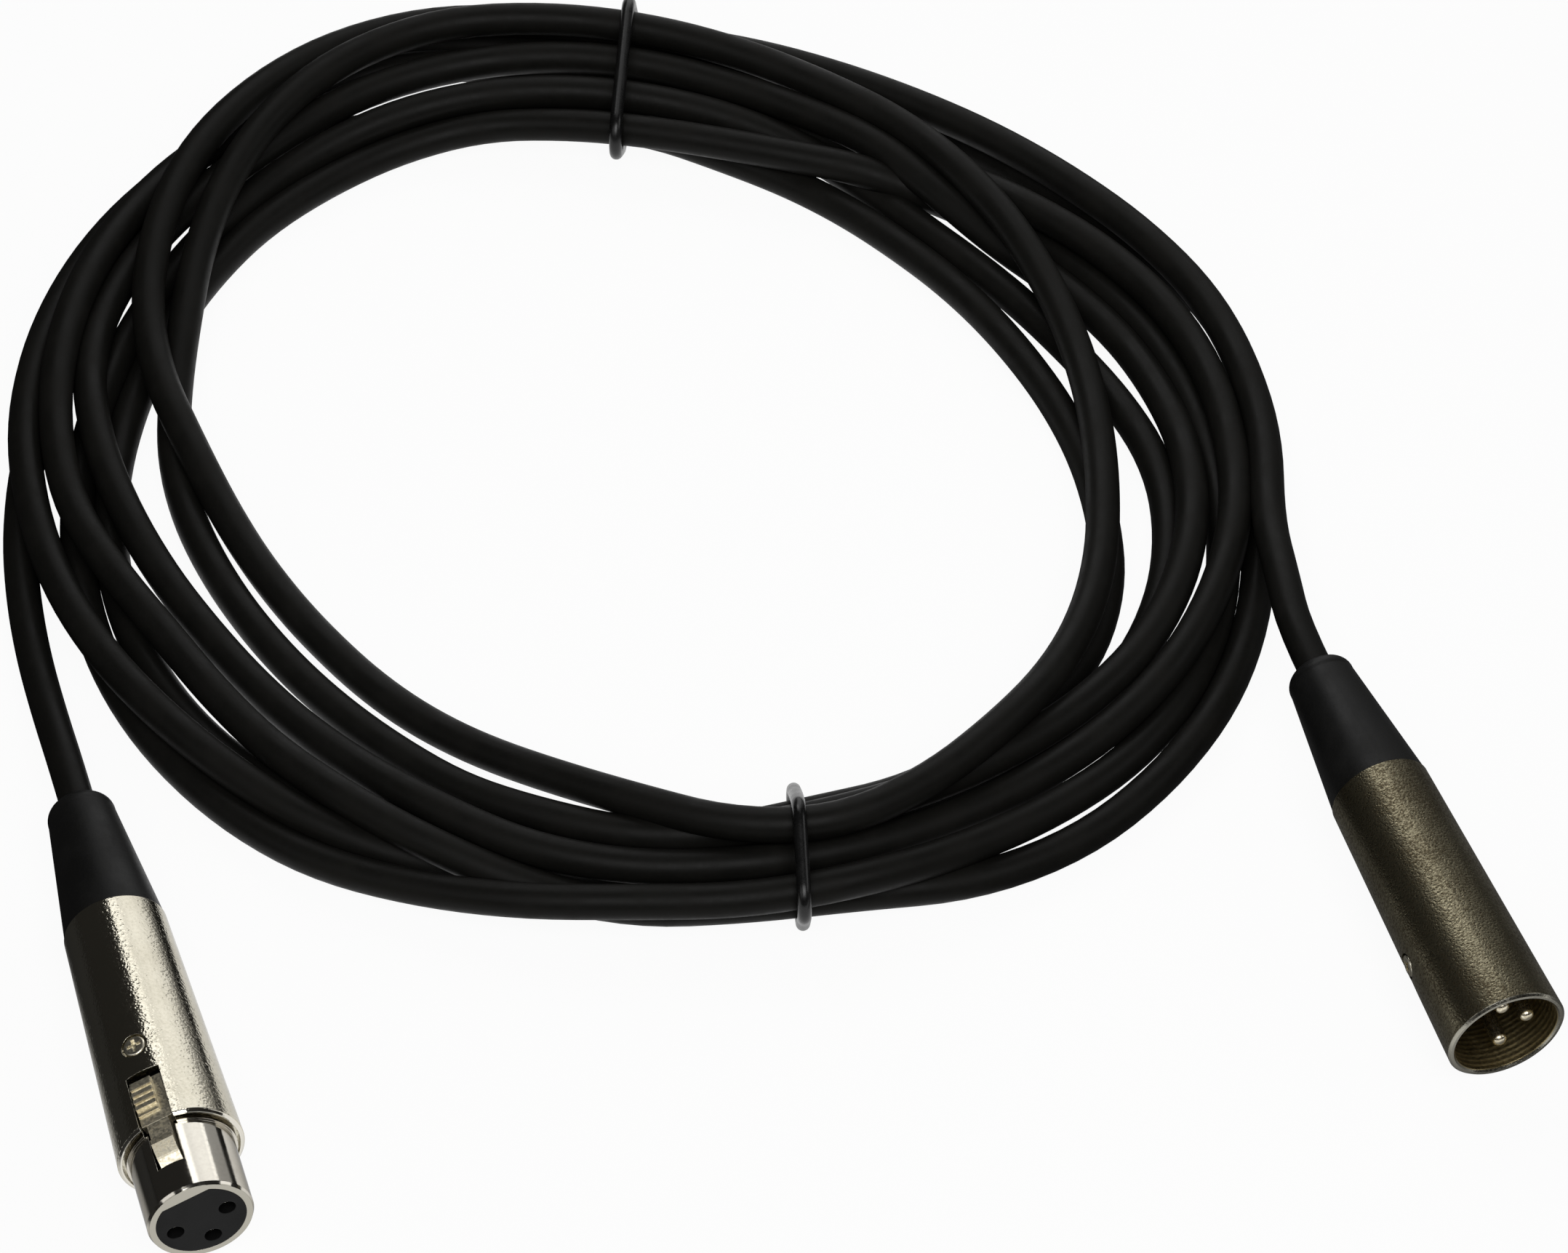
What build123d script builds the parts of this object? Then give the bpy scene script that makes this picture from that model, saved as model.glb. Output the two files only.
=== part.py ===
from build123d import *
import os
from math import cos, pi, radians, sin, tan

# A microphone cable in a tied coil: a round cable with a three-contact locking
# connector at each end. Millimetres, +Z up, the coil and both connectors lie on
# z = 0, and the origin is under the middle of the two connectors.
#
# Each connector is drawn along its own axis: local +Z runs from the shell's rear
# face to the mating end, and local +Y points at the latch key.

# ---- Cable ----
cable_d = 5.6
wire_d = 1.5
wire_spread = 1.15              # the wires' distance from the cable's middle
wire_lead = 1.6                 # straight at each end of a wire
wire_bend_r = 2.0

# ---- Where the connectors lie ----
female_place = (-102.8, 3.9)
female_heading = 16.9           # degrees from -Y towards +X
female_tilt = 1.9               # nose up, so the taper of the shell lies flat
female_roll = 20.0              # turns the latch key from the top to the left
male_place = (90.45, 28.55)
male_heading = 19.2
male_tilt = -2.7                # nose down, held up by the cable at its rear
male_roll = 94.0

# ---- Contacts, shared by both connectors ----
contact_circle_r = 4.2
contact_angles = (0, 180, 270)  # from local +X, with the key at 90
pin_d = 2.34
pin_neck_d = 3.0                # where a pin passes through the insert's face
pin_back_d = 3.4
wire_cup_depth = 3.0

# ---- Clearances ----
running_gap = 0.04              # radial, hinge pin in the latch
sliding_gap = 0.05              # radial, pieces pushed together by hand
moulded_gap = 0.03              # radial, insert in its metal sleeve
latch_gap = 0.2                 # each side of the latch
soft_gap = 0.2                  # radial, cable in the boot

# ---- Female connector ----
shell_rear_r = 8.0
shell_rear_bore_r = 6.9
female_shell_l = 45.2
female_rim_r = 9.55
rim_bevel = 0.45
rim_ring_r = 8.85               # inside edge of the shell's front ring
rim_groove_depth = 1.0
nose_r = 7.95
nose_l = 12.9                   # beyond the shell
nose_wall = 1.2
nose_edge_r = 0.55
nose_seat_r = 7.6               # the sleeve's radius inside the shell
nose_seat_back = 3.0            # the sleeve's rear end behind the insert's
nose_collar_r = 8.35
nose_collar_l = 1.5
nose_flange_t = 1.7             # end wall with the D-shaped opening
key_flat = 5.6                  # from the axis to the opening's flat
window_w = 4.3
window_back = 5.5               # from the nose's end to the tongue's window
slot_w = 5.3
slot_l = 9.9
female_insert_l = 32.1          # back from the nose's end
socket_bore_r = 1.2
socket_depth = 14.0
socket_tail = 4.0               # how far the contacts stand out behind the insert
socket_recess = 1.9             # from the insert's face to the socket tube
face_hole_r = 1.3

# ---- Latch ----
latch_pin_d = 1.0
latch_pin_l = 6.6
latch_pin_back = 3.5            # from the nose's end
knuckle_r = 0.9
knuckle_gap = 0.35              # under the nose's wall
pocket_floor = 3.4              # from the axis
pocket_extra = 0.9              # pocket behind the slot
tongue_w = 3.5
tongue_root_t = 1.5
button_w = 4.9
button_l = 6.4
button_back = 2.3               # from the rim to the button's front
button_sink = 0.95              # button's floor below the shell's surface
button_t = 1.9
button_nose_l = 1.6             # where the button narrows to the tongue
rib_block_w = 3.3
rib_block_x = -0.7
rib_block_h = 0.45
rib_count = 4
rib_pitch = 1.28
rib_w = 0.72
rib_h = 0.5
tooth_h = 0.85                  # above the nose
tooth_top_l = 0.9
tooth_ramp_l = 2.0
tooth_back = 4.0                # from the pin to the foot of the tooth's ramp
spring_wire_d = 0.3
spring_coils = 3
spring_slot_w = 1.3             # gap in the knuckle that the spring sits in

# ---- Screws ----
female_screw_in = 4.0           # from the insert's rear
male_screw_in = 5.4
screw_head_r = 1.75
screw_head_h = 1.0
screw_shank_r = 1.25
screw_reach = 3.8               # how near its tip comes to the axis
screw_recess_r = 2.05
screw_recess_depth = 1.0
cross_w = 0.6
cross_l = 2.2
cross_depth = 0.6

# ---- Male connector ----
male_shell_l = 48.45
male_front_r = 9.4
socket_r = 8.25
socket_l = 13.4
male_edge = 0.35
male_insert_t = 9.0
male_insert_r = 7.6
male_face_t = 1.0               # insert in front of the pins' shoulders
male_pin_recess = 1.7           # pin tips behind the rim
male_pin_tip_r = 0.9
male_pin_rear = 5.0             # wire cup behind the insert

# ---- Boots and clamps ----
female_boot_l = 26.6
male_boot_l = 25.6
boot_front_r = 7.9
boot_rear_r = 5.35
boot_shoulder_r = 2.6
boot_spigot_r = 6.85
boot_spigot_l = 3.0
boot_bore_r = cable_d / 2 + soft_gap
clamp_boot_gap = 1.0            # from the boot's spigot to the clamp
wire_run = 7.0                  # from the jacket's end to the contacts
clamp_r = 6.8
clamp_slit = 1.2
clamp_slit_count = 3
jacket_stop = 0.5               # jacket showing past the clamp
tail_entry = 6.0                # how far a tail runs into its boot

# ---- Coil ----
coil_centre = (-24.6, 108.7)
coil_height = 14.0
top_tie_angle = 93
bottom_tie_angle = 286
coil_outline = (                # angle from +X, inner radius, outer radius
    (0, 70, 105),
    (30, 65, 97),
    (60, 66, 93),
    (top_tie_angle, 77.5, 100),
    (120, 84.5, 114),
    (150, 83, 109),
    (180, 72, 105),
    (195, 68, 104.5),
    (210, 65.5, 100),
    (240, 70, 102.5),
    (bottom_tie_angle, 79, 104),
    (310, 81, 110.5),
    (335, 78, 110),
)

# ---- Ties ----
tie_d = 2.2
tie_gap = 0.6
tie_corner_r = 3.0

# ---- Cable tails: the corners of each route after its straight start in the boot ----
tail_straight = 8.5             # from the boot's end to the first corner, on its axis
female_tail_corners = (
    (-117.2, 51.2, 4.6),
    (-121.1, 64.9, 3.1),
    (-124.0, 78.3, 2.8),
    (-125.9, 92.7, 2.8),
)
male_tail_corners = (
    (77.8, 74.9, 12.2),
    (76.6, 88.7, 9.6),
)


def axis_plane(place, lift, heading, tilt, roll=0.0):
    """The plane whose +Z is a connector's axis, with its key at local +Y."""
    flat = Plane(
        origin=(place[0], place[1], lift),
        x_dir=(cos(radians(heading)), sin(radians(heading)), 0),
        z_dir=(
            sin(radians(heading)) * cos(radians(tilt)),
            -cos(radians(heading)) * cos(radians(tilt)),
            sin(radians(tilt)),
        ),
    )
    rolled = flat.x_dir.rotate(Axis((0, 0, 0), flat.z_dir), roll)
    return Plane(origin=flat.origin, x_dir=rolled, z_dir=flat.z_dir)


def along(plane, distance):
    """The connector's plane moved along its own axis."""
    return plane.offset(distance)


def profile_plane(plane):
    """The plane that holds a connector's axis as its local Y, for revolved outlines."""
    return Plane(origin=plane.origin, x_dir=plane.x_dir, z_dir=-plane.y_dir)


def side_plane(plane, x=0.0):
    """The plane across the latch: local X runs along the axis, local Y towards the key."""
    return Plane(origin=plane.from_local_coords((x, 0, 0)), x_dir=plane.z_dir, z_dir=-plane.x_dir)


def radial_plane(plane, s, height):
    """A plane facing out along the key, at s along the axis and height from it."""
    origin = plane.from_local_coords((0, height, s))
    return Plane(origin=origin, x_dir=plane.x_dir, z_dir=plane.y_dir)


def point_on(plane, x, y, s):
    """A point given in a connector's own coordinates."""
    return plane.from_local_coords((x, y, s))


def save(piece, label):
    """Label a finished piece and write its STEP file."""
    piece.part.label = label
    export_step(piece.part, f"parts/{label}.step")
    print(f"{label:24s} {piece.part.volume:10.1f} mm3  solids {len(piece.part.solids())}")


os.makedirs("parts", exist_ok=True)

# The female connector rests on its rim and the male one on its front edge.
female_lift = female_rim_r * cos(radians(female_tilt)) - female_shell_l * sin(radians(female_tilt))
male_lift = male_front_r * cos(radians(male_tilt)) - male_shell_l * sin(radians(male_tilt))
female = axis_plane(female_place, female_lift, female_heading, female_tilt, female_roll)
male = axis_plane(male_place, male_lift, male_heading, male_tilt, male_roll)

contact_points = [
    (contact_circle_r * cos(radians(a)), contact_circle_r * sin(radians(a))) for a in contact_angles
]
cup_bore_r = wire_d / 2 + sliding_gap
insert_r = nose_r - nose_wall - moulded_gap
nose_end = female_shell_l + nose_l
insert_start = nose_end - female_insert_l
nose_seat_start = insert_start - nose_seat_back
socket_rear = insert_start - socket_tail
slot_rear = female_shell_l - slot_l
pocket_rear = slot_rear - pocket_extra
window_front = nose_end - window_back
latch_pin_s = nose_end - latch_pin_back
female_screw_s = insert_start + female_screw_in
flange_rear = nose_end - nose_flange_t
nose_bore_r = nose_r - nose_wall
latch_pin_y = nose_bore_r - knuckle_gap - knuckle_r
chamber_r = pin_back_d / 2 + sliding_gap


# ---------------------------------------------------------------- female shell
shell_slope = (female_rim_r - shell_rear_r) / female_shell_l
screw_surface_f = shell_rear_r + shell_slope * female_screw_s
with BuildPart() as female_shell:
    with BuildSketch(profile_plane(female)):
        with BuildLine():
            Polyline(
                (shell_rear_bore_r, 0),
                (shell_rear_r, 0),
                (female_rim_r, female_shell_l - rim_bevel),
                (female_rim_r - rim_bevel, female_shell_l),
                (rim_ring_r, female_shell_l),
                (rim_ring_r, female_shell_l - rim_groove_depth),
                (nose_seat_r + sliding_gap, female_shell_l - rim_groove_depth),
                (nose_seat_r + sliding_gap, nose_seat_start - sliding_gap),
                (shell_rear_bore_r, nose_seat_start - sliding_gap),
                close=True,
            )
        make_face()
    revolve(axis=Axis(female.origin, female.z_dir))
    # latch slot, open at the front
    with BuildSketch(radial_plane(female, (slot_rear + female_shell_l) / 2 + 1, nose_seat_r - 1)):
        Rectangle(slot_w, female_shell_l - slot_rear + 2)
    extrude(amount=female_rim_r, mode=Mode.SUBTRACT)
    # recess and hole for the fixing screw
    with BuildSketch(radial_plane(female, female_screw_s, screw_surface_f - screw_recess_depth)):
        Circle(screw_recess_r)
    extrude(amount=2 * screw_recess_depth, mode=Mode.SUBTRACT)
    with BuildSketch(radial_plane(female, female_screw_s, nose_seat_r - 1)):
        Circle(screw_shank_r + sliding_gap)
    extrude(amount=3, mode=Mode.SUBTRACT)
save(female_shell, "female_shell")

# ---------------------------------------------------------------- female nose
collar_rear = female_shell_l - rim_groove_depth + sliding_gap
collar_front = collar_rear + nose_collar_l
with BuildPart() as female_nose:
    with BuildSketch(profile_plane(female)):
        with BuildLine():
            Polyline(
                (0, nose_seat_start),
                (nose_seat_r, nose_seat_start),
                (nose_seat_r, collar_rear),
                (nose_collar_r, collar_rear),
                (nose_collar_r, collar_front),
                (nose_r, collar_front),
                (nose_r, nose_end - nose_edge_r),
                (nose_r - nose_edge_r / 2, nose_end),
                (0, nose_end),
                close=True,
            )
        make_face()
    revolve(axis=Axis(female.origin, female.z_dir))
    with BuildSketch(along(female, nose_seat_start)):
        Circle(nose_bore_r)
    extrude(amount=flange_rear - nose_seat_start, mode=Mode.SUBTRACT)
    with BuildSketch(along(female, flange_rear)):
        Circle(nose_bore_r)
        with Locations((0, key_flat + nose_bore_r)):
            Rectangle(2 * nose_bore_r, 2 * nose_bore_r, mode=Mode.SUBTRACT)
    extrude(amount=nose_flange_t, mode=Mode.SUBTRACT)
    # window for the tongue, and the wider one behind it for the button
    with BuildSketch(radial_plane(female, (window_front + slot_rear) / 2, nose_bore_r - 2)):
        Rectangle(window_w, window_front - slot_rear)
    extrude(amount=5, mode=Mode.SUBTRACT)
    with BuildSketch(radial_plane(female, (pocket_rear + collar_front) / 2, nose_bore_r - 2)):
        Rectangle(slot_w, collar_front - pocket_rear)
    extrude(amount=5, mode=Mode.SUBTRACT)
    with BuildSketch(radial_plane(female, female_screw_s, nose_bore_r - 2)):
        Circle(screw_shank_r + sliding_gap)
    extrude(amount=5, mode=Mode.SUBTRACT)
save(female_nose, "female_nose")

# ---------------------------------------------------------------- female insert
pocket_front = latch_pin_s + knuckle_r + latch_gap
face_start = nose_end - socket_recess
with BuildPart() as female_insert:
    with BuildSketch(along(female, insert_start)):
        Circle(insert_r)
    extrude(amount=face_start - moulded_gap - insert_start)
    # tapped hole for the fixing screw
    with BuildSketch(radial_plane(female, female_screw_s, screw_reach - sliding_gap)):
        Circle(screw_shank_r)
    extrude(amount=nose_r, mode=Mode.SUBTRACT)
    # chambers for the socket contacts
    with BuildSketch(along(female, insert_start)):
        with Locations(*contact_points):
            Circle(chamber_r)
    extrude(amount=face_start - insert_start, mode=Mode.SUBTRACT)
    # pocket that the latch works in: wide under the button, narrow under the tongue
    with BuildSketch(radial_plane(female, pocket_rear, pocket_floor)):
        Rectangle(slot_w, collar_front - pocket_rear, align=(Align.CENTER, Align.MAX))
        Rectangle(window_w, pocket_front - pocket_rear, align=(Align.CENTER, Align.MAX))
    extrude(amount=nose_r, mode=Mode.SUBTRACT)
    # hole for the latch pin
    with BuildSketch(side_plane(female, -insert_r)):
        with Locations((latch_pin_s, latch_pin_y)):
            Circle(latch_pin_d / 2)
    extrude(amount=-2 * insert_r, mode=Mode.SUBTRACT)
save(female_insert, "female_insert")

# the face plate in front of it, flush with the nose, with the three contact holes
with BuildPart() as insert_face:
    with BuildSketch(along(female, face_start)):
        Circle(insert_r)
    extrude(amount=flange_rear - moulded_gap - face_start)
    with BuildSketch(along(female, face_start)):
        Circle(insert_r)
        with Locations((0, key_flat - moulded_gap + insert_r)):
            Rectangle(2 * insert_r, 2 * insert_r, mode=Mode.SUBTRACT)
    extrude(amount=socket_recess)
    with BuildSketch(along(female, face_start)):
        with Locations(*contact_points):
            Circle(face_hole_r)
    extrude(amount=socket_recess, mode=Mode.SUBTRACT)
save(insert_face, "female_insert_face")

# ---------------------------------------------------------------- socket contacts
socket_front = nose_end - socket_recess - sliding_gap
for number, (x, y) in enumerate(contact_points, start=1):
    with BuildPart() as socket:
        with BuildSketch(along(female, socket_rear)):
            with Locations((x, y)):
                Circle(pin_back_d / 2)
        extrude(amount=socket_front - socket_rear)
        with BuildSketch(along(female, socket_front)):
            with Locations((x, y)):
                Circle(socket_bore_r)
        extrude(amount=-socket_depth, mode=Mode.SUBTRACT)
        with BuildSketch(along(female, socket_rear)):
            with Locations((x, y)):
                Circle(cup_bore_r)
        extrude(amount=wire_cup_depth, mode=Mode.SUBTRACT)
    save(socket, f"female_contact_{number}")

# ---------------------------------------------------------------- latch
knuckle_half = tongue_w / 2
button_front = female_shell_l - button_back
button_rear = button_front - button_l
button_floor = shell_rear_r + shell_slope * button_front - button_sink
button_under = button_floor - button_t
tongue_top = nose_r - latch_gap / 4
tooth_foot = latch_pin_s - tooth_back
tooth_crest = tooth_foot - tooth_ramp_l
with BuildPart() as latch:
    # tongue, from the knuckle back under the window, over the tooth, to the button
    with BuildSketch(side_plane(female, -knuckle_half)):
        with BuildLine():
            Polyline(
                (latch_pin_s, latch_pin_y - knuckle_r),
                (latch_pin_s, latch_pin_y + knuckle_r),
                (window_front - latch_gap, latch_pin_y + knuckle_r),
                (tooth_foot + latch_gap, tongue_top - latch_gap),
                (tooth_foot, tongue_top),
                (tooth_crest, nose_r + tooth_h),
                (tooth_crest - tooth_top_l, nose_r + tooth_h),
                (tooth_crest - tooth_top_l - latch_gap, tongue_top),
                (button_front, button_floor),
                (button_front, button_under),
                (tooth_foot, tongue_top - tongue_root_t - knuckle_r),
                close=True,
            )
        make_face()
        with Locations((latch_pin_s, latch_pin_y)):
            Circle(knuckle_r)
    extrude(amount=-tongue_w)
    # button, wider than the tongue
    with BuildSketch(side_plane(female, -button_w / 2)):
        with BuildLine():
            Polyline(
                (button_rear, button_under),
                (button_rear, button_floor),
                (button_front, button_floor),
                (button_front + button_nose_l, button_floor - latch_gap),
                (button_front + button_nose_l, button_under),
                close=True,
            )
        make_face()
    extrude(amount=-button_w)
    # ribs for the thumb, on a block at one side of the button
    with BuildSketch(side_plane(female, rib_block_x - rib_block_w / 2)):
        with Locations((button_rear, button_floor)):
            Rectangle(button_l, 2 * rib_block_h, align=(Align.MIN, Align.CENTER))
        with Locations((button_rear + button_l / 2, button_floor + rib_block_h)):
            with GridLocations(rib_pitch, 1, rib_count, 1):
                Rectangle(rib_w, 2 * rib_h)
    extrude(amount=-rib_block_w)
    with BuildSketch(side_plane(female, -button_w)):
        with Locations((latch_pin_s, latch_pin_y)):
            Circle(latch_pin_d / 2 + running_gap)
    extrude(amount=-2 * button_w, mode=Mode.SUBTRACT)
    with BuildSketch(side_plane(female, -spring_slot_w / 2)):
        with Locations((latch_pin_s, latch_pin_y)):
            Circle(knuckle_r + sliding_gap)
    extrude(amount=-spring_slot_w, mode=Mode.SUBTRACT)
save(latch, "female_latch")

with BuildPart() as latch_pin:
    with BuildSketch(side_plane(female, -latch_pin_l / 2)):
        with Locations((latch_pin_s, latch_pin_y)):
            Circle(latch_pin_d / 2)
    extrude(amount=-latch_pin_l)
save(latch_pin, "female_latch_pin")

# The return spring winds round the pin in a gap of the knuckle, and turns with the latch.
spring_ring_r = latch_pin_d / 2 + running_gap + spring_wire_d / 2
spring_pitch = 0.9 * spring_wire_d
spring_foot = (latch_pin_s + 0.7, pocket_floor + spring_wire_d / 2 + sliding_gap)
spring_arm = (latch_pin_s - 1.9, latch_pin_y - knuckle_r - 0.2)
with BuildPart() as latch_spring:
    for turn in range(spring_coils):
        x = spring_pitch * (turn - (spring_coils - 1) / 2)
        centre = point_on(female, x, latch_pin_y, latch_pin_s)
        with Locations(Plane(centre, x_dir=female.z_dir, z_dir=female.x_dir)):
            Torus(spring_ring_r, spring_wire_d / 2)
    for end_s, end_y in (spring_foot, spring_arm):
        coil_bottom = point_on(female, 0, latch_pin_y - spring_ring_r, latch_pin_s)
        leg = point_on(female, 0, end_y, end_s) - coil_bottom
        with BuildSketch(Plane(coil_bottom, z_dir=leg)):
            Circle(spring_wire_d / 2)
        extrude(amount=leg.length)
save(latch_spring, "female_latch_spring")


# ---------------------------------------------------------------- pieces that both connectors have
def fixing_screw(plane, s, surface_r):
    """A cross-head screw driven in along the key, its head sunk in the shell's recess."""
    seat = surface_r - screw_recess_depth
    head_top = seat + screw_head_h
    with BuildPart() as screw:
        with BuildSketch(radial_plane(plane, s, seat)):
            Circle(screw_head_r)
        extrude(amount=screw_head_h)
        fillet(screw.edges().filter_by(GeomType.CIRCLE).sort_by(Axis(plane.origin, plane.y_dir))[-1], 0.35)
        with BuildSketch(radial_plane(plane, s, screw_reach)):
            Circle(screw_shank_r)
        extrude(amount=seat - screw_reach)
        with BuildSketch(radial_plane(plane, s, head_top - cross_depth)):
            Rectangle(cross_w, cross_l)
            Rectangle(cross_l, cross_w)
        extrude(amount=screw_head_h, mode=Mode.SUBTRACT)
    return screw


def strain_boot(plane, length):
    """A tapered rubber boot with a round shoulder, its spigot inside the shell."""
    with BuildPart() as boot:
        with BuildSketch(profile_plane(plane)):
            with BuildLine():
                Polyline(
                    (boot_bore_r, boot_spigot_l),
                    (boot_spigot_r, boot_spigot_l),
                    (boot_spigot_r, 0),
                    (boot_front_r, 0),
                    (boot_rear_r, boot_shoulder_r - length),
                    (boot_rear_r, -length),
                    (boot_bore_r, -length),
                    close=True,
                )
            make_face()
            fillet(vertices().group_by(Axis.Y)[0].sort_by(Axis.X)[-1], boot_shoulder_r * 0.8)
        revolve(axis=Axis(plane.origin, plane.z_dir))
    return boot


def jacket_clamp(plane, clamp_l):
    """A split collar that grips the cable's jacket inside the shell's rear."""
    with BuildPart() as clamp:
        with BuildSketch(along(plane, clamp_start)):
            Circle(clamp_r)
            Circle(cable_d / 2 + sliding_gap, mode=Mode.SUBTRACT)
        extrude(amount=clamp_l)
        with BuildSketch(along(plane, clamp_start + clamp_l / 4)):
            with PolarLocations(clamp_r / 2, clamp_slit_count):
                Rectangle(clamp_r, clamp_slit)
        extrude(amount=clamp_l, mode=Mode.SUBTRACT)
    return clamp


def jacket_end(plane, boot_length, jacket_front):
    """The straight end of the cable's jacket, from inside the boot to just past the clamp."""
    start = tail_entry - boot_length
    with BuildPart() as jacket:
        with BuildSketch(along(plane, start)):
            Circle(cable_d / 2)
        extrude(amount=jacket_front - start)
    return jacket


def contact_wire(plane, contact, cup_rear, jacket_front):
    """One insulated wire, from the jacket's end out to the bottom of a contact's cup."""
    x, y = contact
    inward = wire_spread / contact_circle_r
    cup_floor = cup_rear + wire_cup_depth - sliding_gap
    stations = (
        point_on(plane, x * inward, y * inward, jacket_front),
        point_on(plane, x * inward, y * inward, jacket_front + wire_lead),
        point_on(plane, x, y, cup_rear - wire_lead),
        point_on(plane, x, y, cup_floor),
    )
    with BuildPart() as wire:
        with BuildLine() as path:
            FilletPolyline(*stations, radius=wire_bend_r)
        with BuildSketch(Plane(origin=path.line @ 0, z_dir=path.line % 0)):
            Circle(wire_d / 2)
        sweep()
    return wire


clamp_start = boot_spigot_l + clamp_boot_gap
male_slope = (male_front_r - shell_rear_r) / male_shell_l
insert_front_m = male_shell_l - socket_l
insert_rear_m = insert_front_m - male_insert_t
male_screw_s = insert_rear_m + male_screw_in
screw_surface_m = shell_rear_r + male_slope * male_screw_s
pin_rear_m = insert_rear_m - male_pin_rear

for side, plane, boot_l, screw_s, surface_r, cup_rear in (
    ("female", female, female_boot_l, female_screw_s, screw_surface_f, socket_rear),
    ("male", male, male_boot_l, male_screw_s, screw_surface_m, pin_rear_m),
):
    save(fixing_screw(plane, screw_s, surface_r), f"{side}_screw")
    save(strain_boot(plane, boot_l), f"{side}_boot")
    jacket_front = cup_rear - wire_run
    save(jacket_clamp(plane, jacket_front - jacket_stop - clamp_start), f"{side}_clamp")
    save(jacket_end(plane, boot_l, jacket_front), f"{side}_cable_end")
    for number, contact in enumerate(contact_points, start=1):
        save(contact_wire(plane, contact, cup_rear, jacket_front), f"{side}_wire_{number}")

# ---------------------------------------------------------------- male shell
with BuildPart() as male_shell:
    with BuildSketch(profile_plane(male)):
        with BuildLine():
            Polyline(
                (shell_rear_bore_r, 0),
                (shell_rear_r, 0),
                (male_front_r, male_shell_l - male_edge),
                (male_front_r - male_edge, male_shell_l),
                (socket_r + male_edge, male_shell_l),
                (socket_r, male_shell_l - male_edge),
                (socket_r, insert_front_m),
                (male_insert_r + moulded_gap, insert_front_m),
                (male_insert_r + moulded_gap, insert_rear_m - sliding_gap),
                (shell_rear_bore_r, insert_rear_m - sliding_gap),
                close=True,
            )
        make_face()
    revolve(axis=Axis(male.origin, male.z_dir))
    with BuildSketch(radial_plane(male, male_screw_s, screw_surface_m - screw_recess_depth)):
        Circle(screw_recess_r)
    extrude(amount=2 * screw_recess_depth, mode=Mode.SUBTRACT)
    with BuildSketch(radial_plane(male, male_screw_s, male_insert_r - 1)):
        Circle(screw_shank_r + sliding_gap)
    extrude(amount=3, mode=Mode.SUBTRACT)
save(male_shell, "male_shell")

# ---------------------------------------------------------------- male insert
with BuildPart() as male_insert:
    with BuildSketch(along(male, insert_rear_m)):
        Circle(male_insert_r)
    extrude(amount=male_insert_t)
    # tapped hole for the fixing screw
    with BuildSketch(radial_plane(male, male_screw_s, screw_reach - sliding_gap)):
        Circle(screw_shank_r)
    extrude(amount=male_insert_r, mode=Mode.SUBTRACT)
    with BuildSketch(along(male, insert_rear_m)):
        with Locations(*contact_points):
            Circle(chamber_r)
    extrude(amount=male_insert_t - male_face_t, mode=Mode.SUBTRACT)
    with BuildSketch(along(male, insert_rear_m)):
        with Locations(*contact_points):
            Circle(pin_neck_d / 2 + moulded_gap)
    extrude(amount=male_insert_t, mode=Mode.SUBTRACT)
save(male_insert, "male_insert")

# ---------------------------------------------------------------- pins
pin_tip = male_shell_l - male_pin_recess
for number, (x, y) in enumerate(contact_points, start=1):
    with BuildPart() as pin:
        with BuildSketch(along(male, pin_rear_m)):
            with Locations((x, y)):
                Circle(pin_d / 2)
        extrude(amount=pin_tip - pin_rear_m)
        fillet(pin.edges().filter_by(GeomType.CIRCLE).sort_by(Axis(male.origin, male.z_dir))[-1], male_pin_tip_r)
        with BuildSketch(along(male, pin_rear_m)):
            with Locations((x, y)):
                Circle(pin_neck_d / 2)
        extrude(amount=insert_front_m - pin_rear_m)
        with BuildSketch(along(male, pin_rear_m)):
            with Locations((x, y)):
                Circle(pin_back_d / 2)
        extrude(amount=insert_front_m - male_face_t - sliding_gap - pin_rear_m)
        with BuildSketch(along(male, pin_rear_m)):
            with Locations((x, y)):
                Circle(cup_bore_r)
        extrude(amount=wire_cup_depth, mode=Mode.SUBTRACT)
    save(pin, f"male_pin_{number}")


# ---------------------------------------------------------------- cable
def coil_point(angle, radius, height=0.0):
    """A point at an angle and radius from the coil's centre."""
    return Vector(
        coil_centre[0] + radius * cos(radians(angle)),
        coil_centre[1] + radius * sin(radians(angle)),
        height,
    )


with BuildPart() as coil:
    with BuildSketch():
        with BuildLine():
            Spline(*[coil_point(a, outer) for a, inner, outer in coil_outline], periodic=True)
        make_face()
        with BuildLine():
            Spline(*[coil_point(a, inner) for a, inner, outer in coil_outline], periodic=True)
        make_face(mode=Mode.SUBTRACT)
    extrude(amount=coil_height)
    for angle in (top_tie_angle, bottom_tie_angle):
        with BuildSketch(Plane(coil_point(angle, 0), x_dir=coil_point(angle, 1) - coil_point(angle, 0))):
            with Locations((95, 0)):
                Rectangle(60, tie_d + 2 * tie_gap)
        extrude(amount=tie_d + tie_gap, mode=Mode.SUBTRACT)
save(coil, "cable_coil")


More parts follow.
